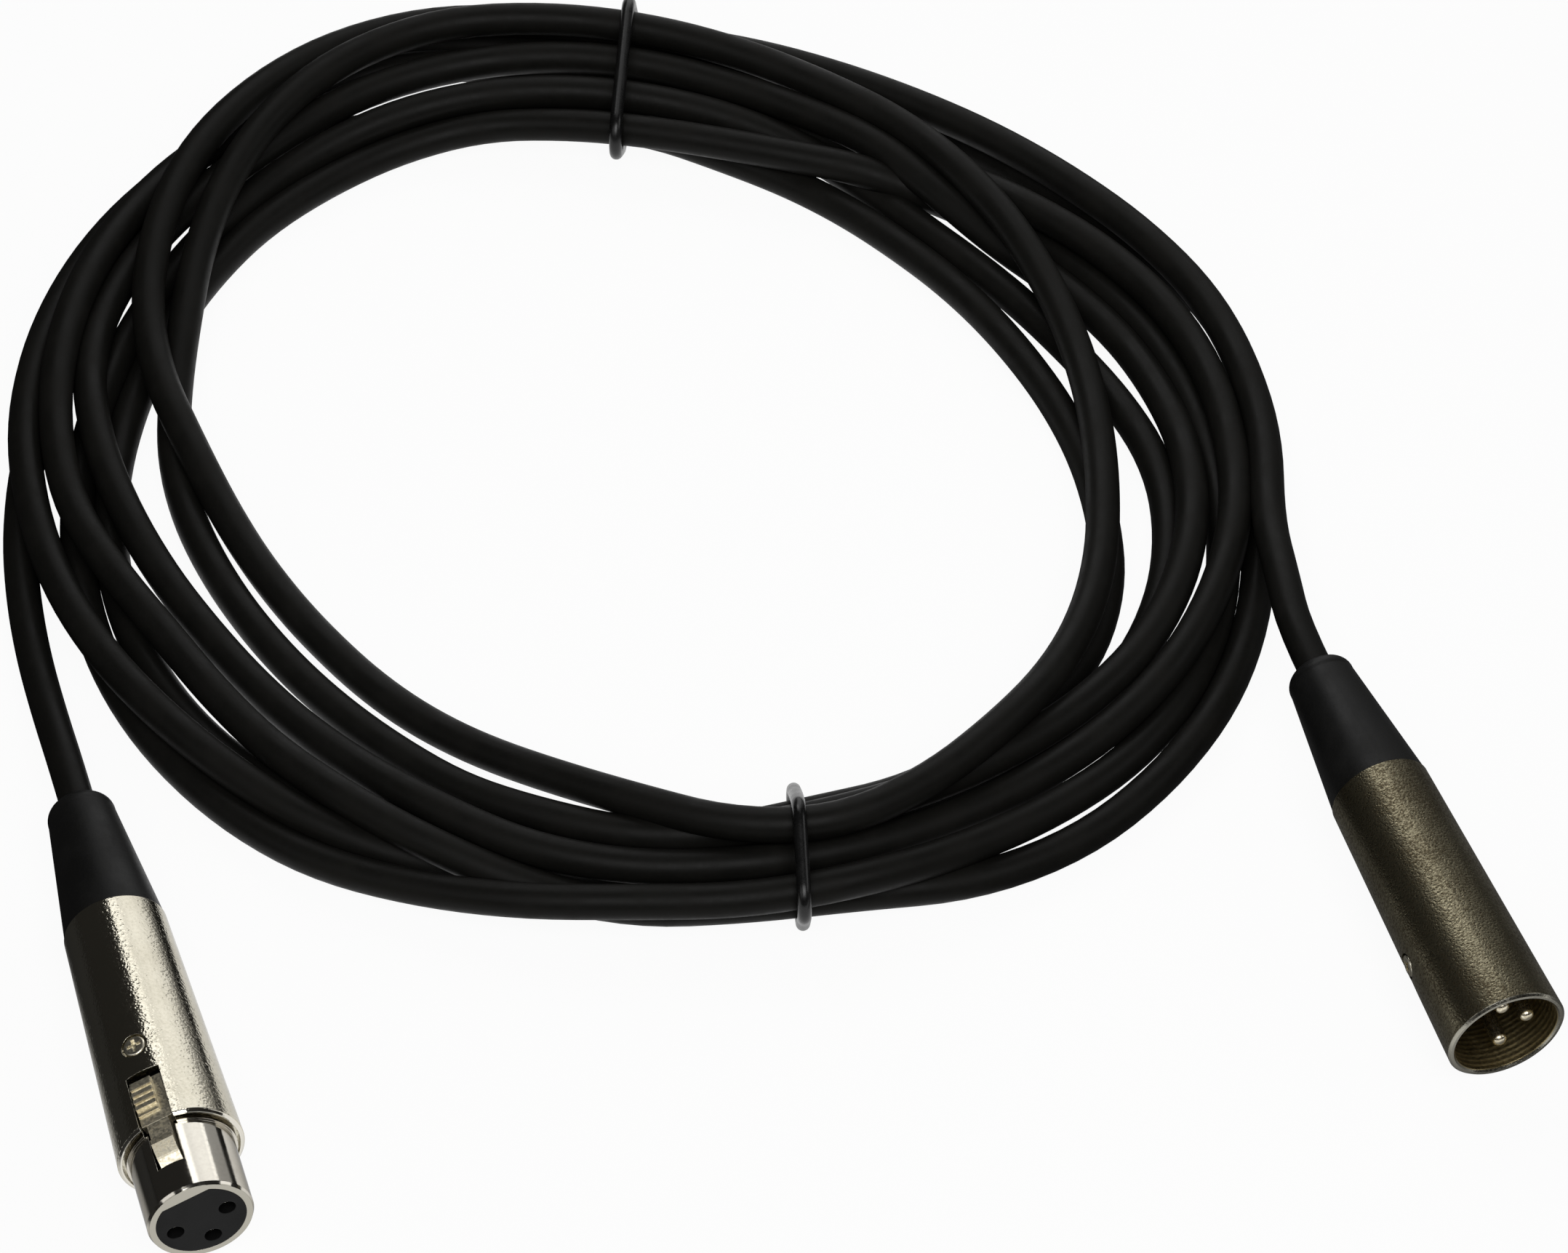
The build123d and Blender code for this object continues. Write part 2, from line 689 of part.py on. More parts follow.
def cable_tail(plane, boot_length, corners):
    """A tube of cable from inside a boot, along straight runs and wide arcs, into the coil."""
    start = point_on(plane, 0, 0, tail_entry - boot_length)
    bend = point_on(plane, 0, 0, -boot_length - tail_straight)
    route = [start, bend] + [Vector(*corner) for corner in corners]
    radii = []
    for before, here, after in zip(route, route[1:], route[2:]):
        turn = (here - before).get_angle(after - here)
        shorter = min((here - before).length, (after - here).length)
        radii.append(0.45 * shorter / tan(radians(turn) / 2))
    with BuildPart() as tail:
        with BuildLine() as path:
            FilletPolyline(*route, radius=radii)
        with BuildSketch(Plane(origin=path.line @ 0, z_dir=path.line % 0)):
            Circle(cable_d / 2)
        sweep()
    section = pi * cable_d**2 / 4
    print("route", [[round(c, 1) for c in point] for point in route])
    print("radii", [round(r) for r in radii], "length", round(path.wire().length, 1))
    print("volume over section x length", round(tail.part.volume / section / path.wire().length, 4))
    return tail


save(cable_tail(female, female_boot_l, female_tail_corners), "cable_tail_female")
save(cable_tail(male, male_boot_l, male_tail_corners), "cable_tail_male")


def cable_tie(angle, name):
    """A round tie that loops once round the coil at an angle from its centre."""
    inner, outer = next((i, o) for a, i, o in coil_outline if a == angle)
    reach = tie_d / 2 + tie_gap
    low = tie_d / 2
    high = coil_height + reach
    corners = (
        coil_point(angle, inner - reach, low),
        coil_point(angle, outer + reach, low),
        coil_point(angle, outer + reach, high),
        coil_point(angle, inner - reach, high),
    )
    with BuildPart() as tie:
        with BuildLine() as path:
            FilletPolyline(*corners, radius=tie_corner_r, close=True)
        with BuildSketch(Plane(origin=path.line @ 0, z_dir=path.line % 0)):
            Circle(tie_d / 2)
        sweep()
    save(tie, name)


cable_tie(top_tie_angle, "tie_top")
cable_tie(bottom_tie_angle, "tie_bottom")
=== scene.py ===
"""A coiled microphone cable with its two locking connectors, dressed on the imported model."""

import logging
import math
from dataclasses import dataclass, field
from enum import Enum

import bpy
import numpy as np
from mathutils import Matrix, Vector


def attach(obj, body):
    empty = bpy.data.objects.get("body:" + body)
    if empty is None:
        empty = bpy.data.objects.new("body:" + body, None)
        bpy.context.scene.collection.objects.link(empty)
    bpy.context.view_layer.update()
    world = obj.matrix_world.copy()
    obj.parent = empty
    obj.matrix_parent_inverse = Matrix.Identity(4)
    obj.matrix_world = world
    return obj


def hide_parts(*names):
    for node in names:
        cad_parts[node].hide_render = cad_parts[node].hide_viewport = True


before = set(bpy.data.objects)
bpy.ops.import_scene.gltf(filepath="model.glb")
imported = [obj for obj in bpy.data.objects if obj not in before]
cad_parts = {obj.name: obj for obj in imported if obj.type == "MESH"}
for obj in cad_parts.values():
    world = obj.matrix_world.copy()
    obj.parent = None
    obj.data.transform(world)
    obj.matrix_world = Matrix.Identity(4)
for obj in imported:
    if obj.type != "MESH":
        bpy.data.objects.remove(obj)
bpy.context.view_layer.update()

MM = 0.001

Colour = tuple[float, float, float]
Point = tuple[float, float, float]

# Where, in a pattern's values, what it drives begins and is full.
EVEN_SPAN = (0.3, 0.7)
GRAIN_SPAN = (0.38, 0.66)
FLECK_SPAN = (0.45, 0.8)
SPOT_SPAN = (0.12, 0.5)
STAIN_SPAN = (0.35, 0.7)
WORN_SPAN = (0.4, 0.75)

log = logging.getLogger("xlr_cable_coil")


class Value:
    """One output of a node, on which arithmetic adds Math nodes."""

    def __init__(self, paint: "Paint", socket: bpy.types.NodeSocket) -> None:
        """Wrap a node's output.

        Args:
            paint: the material that it belongs to.
            socket: the output.
        """
        self.paint = paint
        self.socket = socket

    def math(self, operation: str, *others: "Value | float", first: bool = True) -> "Value":
        """Add a Math node on this value.

        Args:
            operation: the node's operation.
            others: its other inputs.
            first: whether this value is the first input or the second.

        Returns:
            The node's output.
        """
        order = (self, *others) if first else (*others, self)
        return self.paint.node("ShaderNodeMath", "Value", {"operation": operation},
                               **dict(zip(("Value", "Value_001", "Value_002"), order)))

    def __add__(self, other: "Value | float") -> "Value":
        """This value and another, added."""
        return self.math("ADD", other)

    __radd__ = __add__

    def __sub__(self, other: "Value | float") -> "Value":
        """This value less another."""
        return self.math("SUBTRACT", other)

    def __rsub__(self, other: float) -> "Value":
        """A number less this value."""
        return self.math("SUBTRACT", other, first=False)

    def __mul__(self, other: "Value | float") -> "Value":
        """This value times another."""
        return self.math("MULTIPLY", other)

    __rmul__ = __mul__

    def __pow__(self, other: "Value | float") -> "Value":
        """This value to a power."""
        return self.math("POWER", other)

    def __rpow__(self, other: float) -> "Value":
        """A number to the power of this value."""
        return self.math("POWER", other, first=False)

    def ramp(self, low: float, high: float, to_low: float = 0.0, to_high: float = 1.0) -> "Value":
        """Stretch the span low..high smoothly to to_low..to_high and stop at its ends.

        Args:
            low: the input that gives to_low.
            high: the input that gives to_high.
            to_low: the lower result.
            to_high: the upper result.

        Returns:
            The stretched value.
        """
        return self.paint.node(
            "ShaderNodeMapRange", "Result", {"interpolation_type": "SMOOTHSTEP"}, Value=self,
            From_Min=low, From_Max=high, To_Min=to_low, To_Max=to_high,
        )


class Paint:
    """A material being mixed: its tree, its shader and the patterns laid on it."""

    def __init__(self, name: str) -> None:
        """Start an empty material.

        Args:
            name: the material's name.
        """
        self.material = bpy.data.materials.new(name)
        self.material.use_nodes = True
        self.tree = self.material.node_tree
        self.shader = self.tree.nodes["Principled BSDF"]
        self.place = self.node("ShaderNodeTexCoord", "Object")

    def feed(self, node: bpy.types.Node, inputs: dict[str, object]) -> None:
        """Set or link a node's inputs.

        Args:
            node: the node.
            inputs: numbers, colours or values by the input's identifier, with _ for a space.
        """
        for name, given in inputs.items():
            names = (name, name.replace("_", " "))
            slot = next(slot for slot in node.inputs if slot.identifier in names)
            if isinstance(given, Value):
                self.tree.links.new(given.socket, slot)
            else:
                slot.default_value = given

    def node(
        self, kind: str, output: str = "", settings: dict[str, object] | None = None,
        **inputs: object,
    ) -> Value:
        """Add any node, set its inputs and give one of its outputs.

        Args:
            kind: the node's type.
            output: the output's identifier; the first one if it is empty.
            settings: the node's own properties.
            inputs: numbers, colours or values by the input's identifier, with _ for a space.

        Returns:
            The chosen output.
        """
        made = self.tree.nodes.new(kind)
        for name, choice in (settings or {}).items():
            setattr(made, name, choice)
        self.feed(made, inputs)
        return Value(self, next(out for out in made.outputs if output in ("", out.identifier)))

    def grain(self, size: float, detail: float = 2.0, roughness: float = 0.5) -> Value:
        """Noise about 0.5 whose blobs are about a given size.

        Args:
            size: the blobs' width in metres.
            detail: how many finer layers it has.
            roughness: how strong the finer layers are.

        Returns:
            The noise.
        """
        return self.node(
            "ShaderNodeTexNoise", "Fac", Vector=self.place, Scale=1.0 / size,
            Detail=detail, Roughness=roughness,
        )

    def cells(self, size: float) -> Value:
        """Distance to the nearest point of a scatter, 0 at a point.

        Args:
            size: the spacing of the points in metres.

        Returns:
            The distance, about 0 to 1.
        """
        return self.node(
            "ShaderNodeTexVoronoi", "Distance", Vector=self.place, Scale=1.0 / size,
        )

    def round_axis(self, origin: Point, direction: Point) -> tuple[Value, Value]:
        """Measure each point of the surface from a line.

        Args:
            origin: a point on the line, in metres.
            direction: the line's direction.

        Returns:
            How far along the line the point is, and how far from it, in metres.
        """
        away = self.node("ShaderNodeVectorMath", "Vector", {"operation": "SUBTRACT"},
                         Vector=self.place, Vector_001=origin)
        along = self.node("ShaderNodeVectorMath", "Value", {"operation": "DOT_PRODUCT"},
                          Vector=away, Vector_001=direction)
        length = self.node("ShaderNodeVectorMath", "Value", {"operation": "LENGTH"}, Vector=away)
        return along, (length * length - along * along).math("MAXIMUM", 0.0) ** 0.5

    def blend(self, first: Value | Colour, second: Value | Colour, factor: Value) -> Value:
        """Mix two colours by a value.

        Args:
            first: the colour where the value is 0.
            second: the colour where it is 1.
            factor: the value.

        Returns:
            The mixed colour.
        """
        first, second = (given if isinstance(given, Value) else (*given, 1.0)
                         for given in (first, second))
        return self.node("ShaderNodeMix", "Result_Color", {"data_type": "RGBA"},
                         Factor_Float=factor, A_Color=first, B_Color=second)

    def set(self, **inputs: object) -> None:
        """Set or link the shader's inputs.

        Args:
            inputs: numbers, colours or values by input name, with _ for a space.
        """
        self.feed(self.shader, inputs)

    def show(self, shader: Value) -> None:
        """Show another shader in place of the usual one.

        Args:
            shader: its output.
        """
        self.feed(self.tree.nodes["Material Output"], {"Surface": shader})

    def relief(self, height: Value, depth: float, edge: float = 0.0) -> None:
        """Lay a relief on the surface, over edges that are a little rounded.

        Args:
            height: the relief, about 0 to 1.
            depth: how deep it is, in metres.
            edge: the radius of the edges, in metres; sharp where it is 0.
        """
        inputs: dict[str, object] = {"Height": height, "Distance": depth, "Strength": 1.0}
        if edge > 0.0:
            inputs["Normal"] = self.node("ShaderNodeBevel", settings={"samples": 4}, Radius=edge)
        self.set(Normal=self.node("ShaderNodeBump", **inputs))


@dataclass(frozen=True)
class Metal:
    """A plated or bare metal with a fine grain, broad stains and small spots.

    Attributes:
        name: the finish's name, which is also its slot's.
        colour: its clean colour.
        stain: the colour of its grain and stains.
        roughness: how rough it is.
        grain: the grain's size in metres.
        depth: the grain's depth in metres.
        edge: the radius of its edges in metres.
        speckle: how much of the stain's colour the grain has.
        rim_tint: how bright a glancing reflection is.
        stain_size: the width of the broad stains in metres.
        stain_share: how much of the stain's colour they have.
        stain_roughness: how much rougher they are.
        spot_spacing: the spacing of the spots, in grains.
        spot_share: how much of the speckle's colour the spots have.
        rough_range: the least and the most of the grain's roughness, in parts of the usual.
    """

    name: str
    colour: Colour
    stain: Colour
    roughness: float
    grain: float
    depth: float
    edge: float = 0.00012
    speckle: float = 0.5
    rim_tint: float = 0.35
    stain_size: float = 0.009
    stain_share: float = 0.35
    stain_roughness: float = 0.05
    spot_spacing: float = 1.2
    spot_share: float = 0.6
    rough_range: tuple[float, float] = (0.8, 1.25)

    def layers(self, paint: Paint) -> tuple[Value, Value, Value]:
        """Mix the surface's parts.

        Args:
            paint: the material that they belong to.

        Returns:
            The colour, the roughness and the relief.
        """
        fine = paint.grain(self.grain, 1.5, 0.6)
        broad = paint.grain(self.stain_size, 2.0)
        spots = paint.cells(self.spot_spacing * self.grain).ramp(*SPOT_SPAN)
        tone = (fine.ramp(*GRAIN_SPAN) * self.speckle + broad.ramp(*STAIN_SPAN) * self.stain_share
                + (1.0 - spots) * self.speckle * self.spot_share)
        least, most = (part * self.roughness for part in self.rough_range)
        roughness = (fine.ramp(*EVEN_SPAN, least, most)
                     + broad.ramp(*WORN_SPAN, 0.0, self.stain_roughness))
        return paint.blend(self.colour, self.stain, tone), roughness, fine * 0.7 + spots * 0.3

    def paint(self) -> bpy.types.Material:
        """Mix the material.

        Returns:
            The material.
        """
        paint = Paint(self.name)
        colour, roughness, relief = self.layers(paint)
        tint = (self.rim_tint, self.rim_tint, self.rim_tint, 1.0)
        paint.set(Base_Color=colour, Roughness=roughness, Metallic=1.0, Specular_Tint=tint)
        paint.relief(relief, self.depth, self.edge)
        return paint.material


@dataclass(frozen=True)
class Barrel(Metal):
    """A shell's metal, brown in its turned bore, with its own colour on its turned rim: a brighter
    bare finish on the shells, painted shade on the nose's darker end.

    Attributes:
        origin: a point on the shell's axis, in metres.
        axis: the axis, towards the rim.
        rim_at: how far along the axis the rim begins.
        rim_finish_and_shade: the rim's colour, a brighter bare finish on the shells and painted
            shade on the nose's end.
        rim_blur: how far the rim's and the bore's colours take to begin.
        bore: the bore's radius; none where it is 0.
        bore_depth: how far behind the rim the bore's colour begins.
        bore_colour: the bore's colour.
        bore_roughness: how much rougher the bore is.
        turning: the width of a turning mark in the bore.
        ring_share: how deep and how dark the turning marks are.
        rim_polish: how much of the roughness the rim loses.
        rim_flatness: how much of the grain's relief the rim loses.
    """

    origin: Point = (0.0, 0.0, 0.0)
    axis: Point = (0.0, -1.0, 0.0)
    rim_at: float = 0.048
    rim_finish_and_shade: Colour = (0.62, 0.60, 0.54)
    rim_blur: float = 0.0001
    bore: float = 0.008
    bore_depth: float = 0.0145
    bore_colour: Colour = (0.60, 0.50, 0.30)
    bore_roughness: float = 0.06
    turning: float = 0.0009
    ring_share: float = 0.6
    rim_polish: float = 0.35
    rim_flatness: float = 0.7

    def layers(self, paint: Paint) -> tuple[Value, Value, Value]:
        """Mix the surface's parts, with the rim and the bore laid over the outside's.

        Args:
            paint: the material that they belong to.

        Returns:
            The colour, the roughness and the relief.
        """
        colour, roughness, relief = super().layers(paint)
        along, away = paint.round_axis(self.origin, self.axis)
        rim = along.ramp(self.rim_at - self.rim_blur, self.rim_at)
        floor = self.rim_at - self.bore_depth
        inside = ((1.0 - away.ramp(self.bore, self.bore + 1.2 * self.rim_blur))
                  * along.ramp(floor, floor + 3.0 * self.rim_blur))
        rings = (along * (2.0 * math.pi / self.turning)).math("SINE") * 0.5 + 0.5
        turned = paint.blend(self.bore_colour, self.stain, rings * self.ring_share)
        # On the nose the rim's colour is painted shade, darker than its nickel.
        colour = paint.blend(paint.blend(colour, self.rim_finish_and_shade, rim), turned, inside)
        roughness = roughness * (1.0 - self.rim_polish * rim) + self.bore_roughness * inside
        relief = (relief * (1.0 - inside) * (1.0 - self.rim_flatness * rim)
                  + rings * inside * self.ring_share)
        return colour, roughness, relief


@dataclass(frozen=True)
class Moulding:
    """A moulded plastic or rubber with a fine matt grain and broad worn patches.

    Attributes:
        name: the finish's name, which is also its slot's.
        colour: its fresh colour.
        worn: its colour where it is worn.
        roughness: how rough it is.
        grain: the grain's size in metres.
        depth: the grain's depth in metres.
        gloss: how strongly it reflects, where 0.5 is usual.
        edge: the radius of its edges in metres.
        patch_size: the width of the worn patches in metres.
        patch_share: how much of the worn colour the patches have; the grain has the rest.
        patch_roughness: what the patches add to the roughness, least and most.
        grain_roughness: what the grain adds to it, least and most.
    """

    name: str
    colour: Colour
    worn: Colour
    roughness: float
    grain: float = 0.0004
    depth: float = 0.00001
    gloss: float = 0.25
    edge: float = 0.0002
    patch_size: float = 0.007
    patch_share: float = 0.6
    patch_roughness: tuple[float, float] = (-0.05, 0.07)
    grain_roughness: tuple[float, float] = (-0.03, 0.03)

    def paint(self) -> bpy.types.Material:
        """Mix the material.

        Returns:
            The material.
        """
        paint = Paint(self.name)
        fine = paint.grain(self.grain, 3.0, 0.6)
        broad = paint.grain(self.patch_size, 3.0, 0.6)
        wear = (broad.ramp(*WORN_SPAN) * self.patch_share
                + fine.ramp(*FLECK_SPAN) * (1.0 - self.patch_share))
        least, most = (self.roughness + more for more in self.patch_roughness)
        roughness = (broad.ramp(*STAIN_SPAN, least, most)
                     + fine.ramp(*EVEN_SPAN, *self.grain_roughness))
        paint.set(Base_Color=paint.blend(self.colour, self.worn, wear), Roughness=roughness,
                  Specular_IOR_Level=self.gloss)
        paint.relief(fine, self.depth, self.edge)
        return paint.material


@dataclass(frozen=True)
class Braid:
    """Fine bare wires laid side by side, as in a cable's screen.

    Attributes:
        name: the finish's name, which is also its slot's.
        colour: the wires' colour.
        stain: the colour between them and where they are stained.
        wires: how many wires there are in a metre across them.
        stain_size: the width of the stains in metres.
        depth: how deep the gaps between the wires are, in metres.
        gap_share: how much of the stain's colour the gaps have.
        stain_share: how much of it the stains have.
        rough_range: the least and the most of the roughness.
    """

    name: str
    colour: Colour
    stain: Colour
    wires: float = 900.0
    stain_size: float = 0.002
    depth: float = 0.00006
    gap_share: float = 0.5
    stain_share: float = 0.4
    rough_range: tuple[float, float] = (0.28, 0.45)

    def paint(self) -> bpy.types.Material:
        """Mix the material.

        Returns:
            The material.
        """
        paint = Paint(self.name)
        strands = paint.node(
            "ShaderNodeTexWave", "Fac", Vector=paint.place, Scale=self.wires, Distortion=1.5,
            Detail=1.0, Detail_Scale=2.0,
        )
        broad = paint.grain(self.stain_size, 2.0)
        tone = (1.0 - strands) * self.gap_share + broad * self.stain_share
        paint.set(Base_Color=paint.blend(self.colour, self.stain, tone), Metallic=1.0,
                  Roughness=broad.ramp(*EVEN_SPAN, *self.rough_range))
        paint.relief(strands, self.depth)
        return paint.material


class Looks(Enum):
    """The finishes of the cable's pieces."""

    SATIN_NICKEL = Barrel("satin_nickel", (0.64, 0.605, 0.505), (0.50, 0.465, 0.365), 0.14, 0.0005,
                          0.00006, speckle=0.15, rim_tint=0.75, origin=(-0.1028, 0.0039, 0.008046),
                          axis=(0.2905, -0.9563, 0.0332), rim_at=0.04490, bore=0.0067,
                          rim_finish_and_shade=(0.74, 0.71, 0.63), bore_colour=(0.5, 0.44, 0.32))
    # The male shell is the same nickel as the female's, painted much darker: painted shade over its
    # real grain, speckle and stains.
    PAINTED_SHADE_NICKEL = Barrel("cast_nickel", (0.31, 0.28, 0.19), (0.11, 0.09, 0.055), 0.33, 0.00038,
                         0.00006, speckle=0.7, rim_tint=1.0, origin=(0.09045, 0.02855, 0.01167),
                         axis=(0.3285, -0.9433, -0.0471), rim_at=0.04808, bore=0.0083,
                         rim_finish_and_shade=(0.36, 0.345, 0.29), bore_colour=(0.44, 0.36, 0.19))
    # The nose's end is this nickel painted darker: painted shade.
    BRIGHT_NICKEL = Barrel("bright_nickel", (0.68, 0.65, 0.58), (0.58, 0.54, 0.47), 0.09, 0.0006,
                           0.000003, speckle=0.2, origin=(-0.1028, 0.0039, 0.008046),
                           axis=(0.2905, -0.9563, 0.0332), rim_at=0.0580, bore=0.0,
                           rim_finish_and_shade=(0.44, 0.42, 0.36))
    LATCH_METAL = Metal("latch_metal", (0.97, 0.91, 0.74), (0.74, 0.66, 0.48), 0.40, 0.0004,
                        0.000008, edge=0.00008)
    SPRING_STEEL = Metal("spring_steel", (0.55, 0.55, 0.55), (0.4, 0.39, 0.37), 0.25, 0.0003,
                         0.000003, edge=0.0)
    CONTACT_PLATING = Metal("contact_plating", (0.75, 0.73, 0.68), (0.6, 0.56, 0.48), 0.2, 0.0004,
                            0.000004, edge=0.00005)
    PIN_PLATING = Metal("pin_plating", (0.86, 0.80, 0.64), (0.62, 0.54, 0.38), 0.24, 0.0004,
                        0.000004, edge=0.0001)
    SCREW_METAL = Metal("screw_metal", (0.92, 0.88, 0.74), (0.68, 0.62, 0.48), 0.33, 0.0004,
                        0.000006, edge=0.00008)
    INSERT_PLASTIC = Moulding("insert_plastic", (0.006, 0.006, 0.006), (0.010, 0.010, 0.010), 0.46,
                              gloss=0.12)
    BOOT_RUBBER = Moulding("boot_rubber", (0.0068, 0.0068, 0.0065), (0.0105, 0.0102, 0.0096), 0.48,
                           0.0005, 0.000012, gloss=0.2, edge=0.0003)
    CABLE_JACKET = Moulding("cable_jacket", (0.0072, 0.0070, 0.0061), (0.0102, 0.0096, 0.0082),
                            0.48, 0.0006, gloss=0.1, edge=0.0)
    CLAMP_PLASTIC = Moulding("clamp_plastic", (0.55, 0.54, 0.50), (0.42, 0.41, 0.38), 0.4)
    WIRE_RED = Moulding("wire_red", (0.42, 0.018, 0.014), (0.30, 0.014, 0.012), 0.32, edge=0.0)
    WIRE_CLEAR = Moulding("wire_clear", (0.66, 0.63, 0.55), (0.55, 0.50, 0.40), 0.3, edge=0.0)
    WIRE_SCREEN = Braid("wire_screen", (0.72, 0.42, 0.25), (0.45, 0.24, 0.12))
    TIE_PLASTIC = Moulding("tie_plastic", (0.005, 0.005, 0.005), (0.009, 0.009, 0.009), 0.30,
                           gloss=0.4, edge=0.0)


@dataclass
class Workshop:
    """Keeps each finish once and puts it on pieces.

    Attributes:
        mixed: the material of each finish that is in use.
    """

    mixed: dict[Looks, bpy.types.Material] = field(default_factory=dict)

    def dress(self, piece: bpy.types.Object, look: Looks) -> None:
        """Give a whole piece one finish.

        Args:
            piece: the object.
            look: its finish.
        """
        if look not in self.mixed:
            self.mixed[look] = look.value.paint()
        piece.data.materials.clear()
        piece.data.materials.append(self.mixed[look])
        log.info("%s: %s", piece.name, look.value.name)


@dataclass
class Viewpoint:
    """The camera, which looks down across the coil from its front.

    Attributes:
        place: where it stands, in metres.
        tilt: how far it is raised from looking straight down, in degrees.
        lens: its focal length in millimetres.
        sensor: its sensor's width in millimetres.
        reach: how far it sees, in metres.
    """

    place: Point = (-0.00145, -0.55815, 0.6901)
    tilt: float = 42.5
    lens: float = 133.58
    sensor: float = 36.0
    reach: float = 50.0

    def build(self) -> bpy.types.Object:
        """Make the camera and use it.

        Returns:
            The camera.
        """
        data = bpy.data.cameras.new("camera")
        data.lens = self.lens
        data.sensor_width = self.sensor
        data.sensor_fit = "HORIZONTAL"
        data.clip_end = self.reach
        camera = bpy.data.objects.new("camera", data)
        camera.location = self.place
        camera.rotation_euler = (math.radians(self.tilt), 0.0, 0.0)
        bpy.context.scene.collection.objects.link(camera)
        bpy.context.scene.camera = camera
        return camera


def tube(name: str, path: np.ndarray, radius: float, sides: int = 24) -> bpy.types.Object:
    """A closed ring of round section along a closed path.

    Each point is the path's point plus the radius times (cos a * outward + sin a * across), where
    outward is across the path in its own plane and across is that plane's normal.

    Args:
        name: the piece's name.
        path: points of a flat closed path, one row each, in metres.
        radius: the section's radius in metres.
        sides: how many points the section has.

    Returns:
        The object, at the origin.
    """
    along = np.roll(path, -1, axis=0) - np.roll(path, 1, axis=0)
    along /= np.linalg.norm(along, axis=1, keepdims=True)
    across = np.cross(path[1] - path[0], path[len(path) // 3] - path[0])
    across /= np.linalg.norm(across)
    outward = np.cross(along, across)
    turn = np.linspace(0.0, 2.0 * np.pi, sides, endpoint=False)
    points = (path[:, None]
              + radius * (np.cos(turn)[None, :, None] * outward[:, None]
                          + np.sin(turn)[None, :, None] * across[None, None]))
    rows, columns = len(path), sides
    i, j = np.meshgrid(np.arange(rows), np.arange(columns), indexing="ij")
    down, right = (i + 1) % rows, (j + 1) % columns
    faces = np.stack([i * columns + j, down * columns + j, down * columns + right,
                      i * columns + right], axis=-1).reshape(-1, 4)
    mesh = bpy.data.meshes.new(name)
    mesh.from_pydata(points.reshape(-1, 3).tolist(), [], faces.tolist())
    mesh.shade_smooth()
    piece = bpy.data.objects.new(name, mesh)
    bpy.context.scene.collection.objects.link(piece)
    return piece


@dataclass(frozen=True)
class Turn:
    """Where one turn of the coil lies, at the coil's stations from the first.

    Attributes:
        lanes: the distances from the coil's centre, in millimetres.
        layers: how many cords it is laid over, before it settles.
    """

    lanes: tuple[float, ...]
    layers: tuple[float, ...]


@dataclass(frozen=True)
class Stage:
    """How the turns move in one stage of their settling.

    Attributes:
        rounds: how many rounds it lasts.
        drift: the share of its shift that a turn loses in a round, on its way back to its lane.
        sink: how far a turn sinks in a round, in millimetres.
        ease: the share by which a turn follows its neighbours along the cable.
    """

    rounds: int
    drift: float
    sink: float
    ease: float


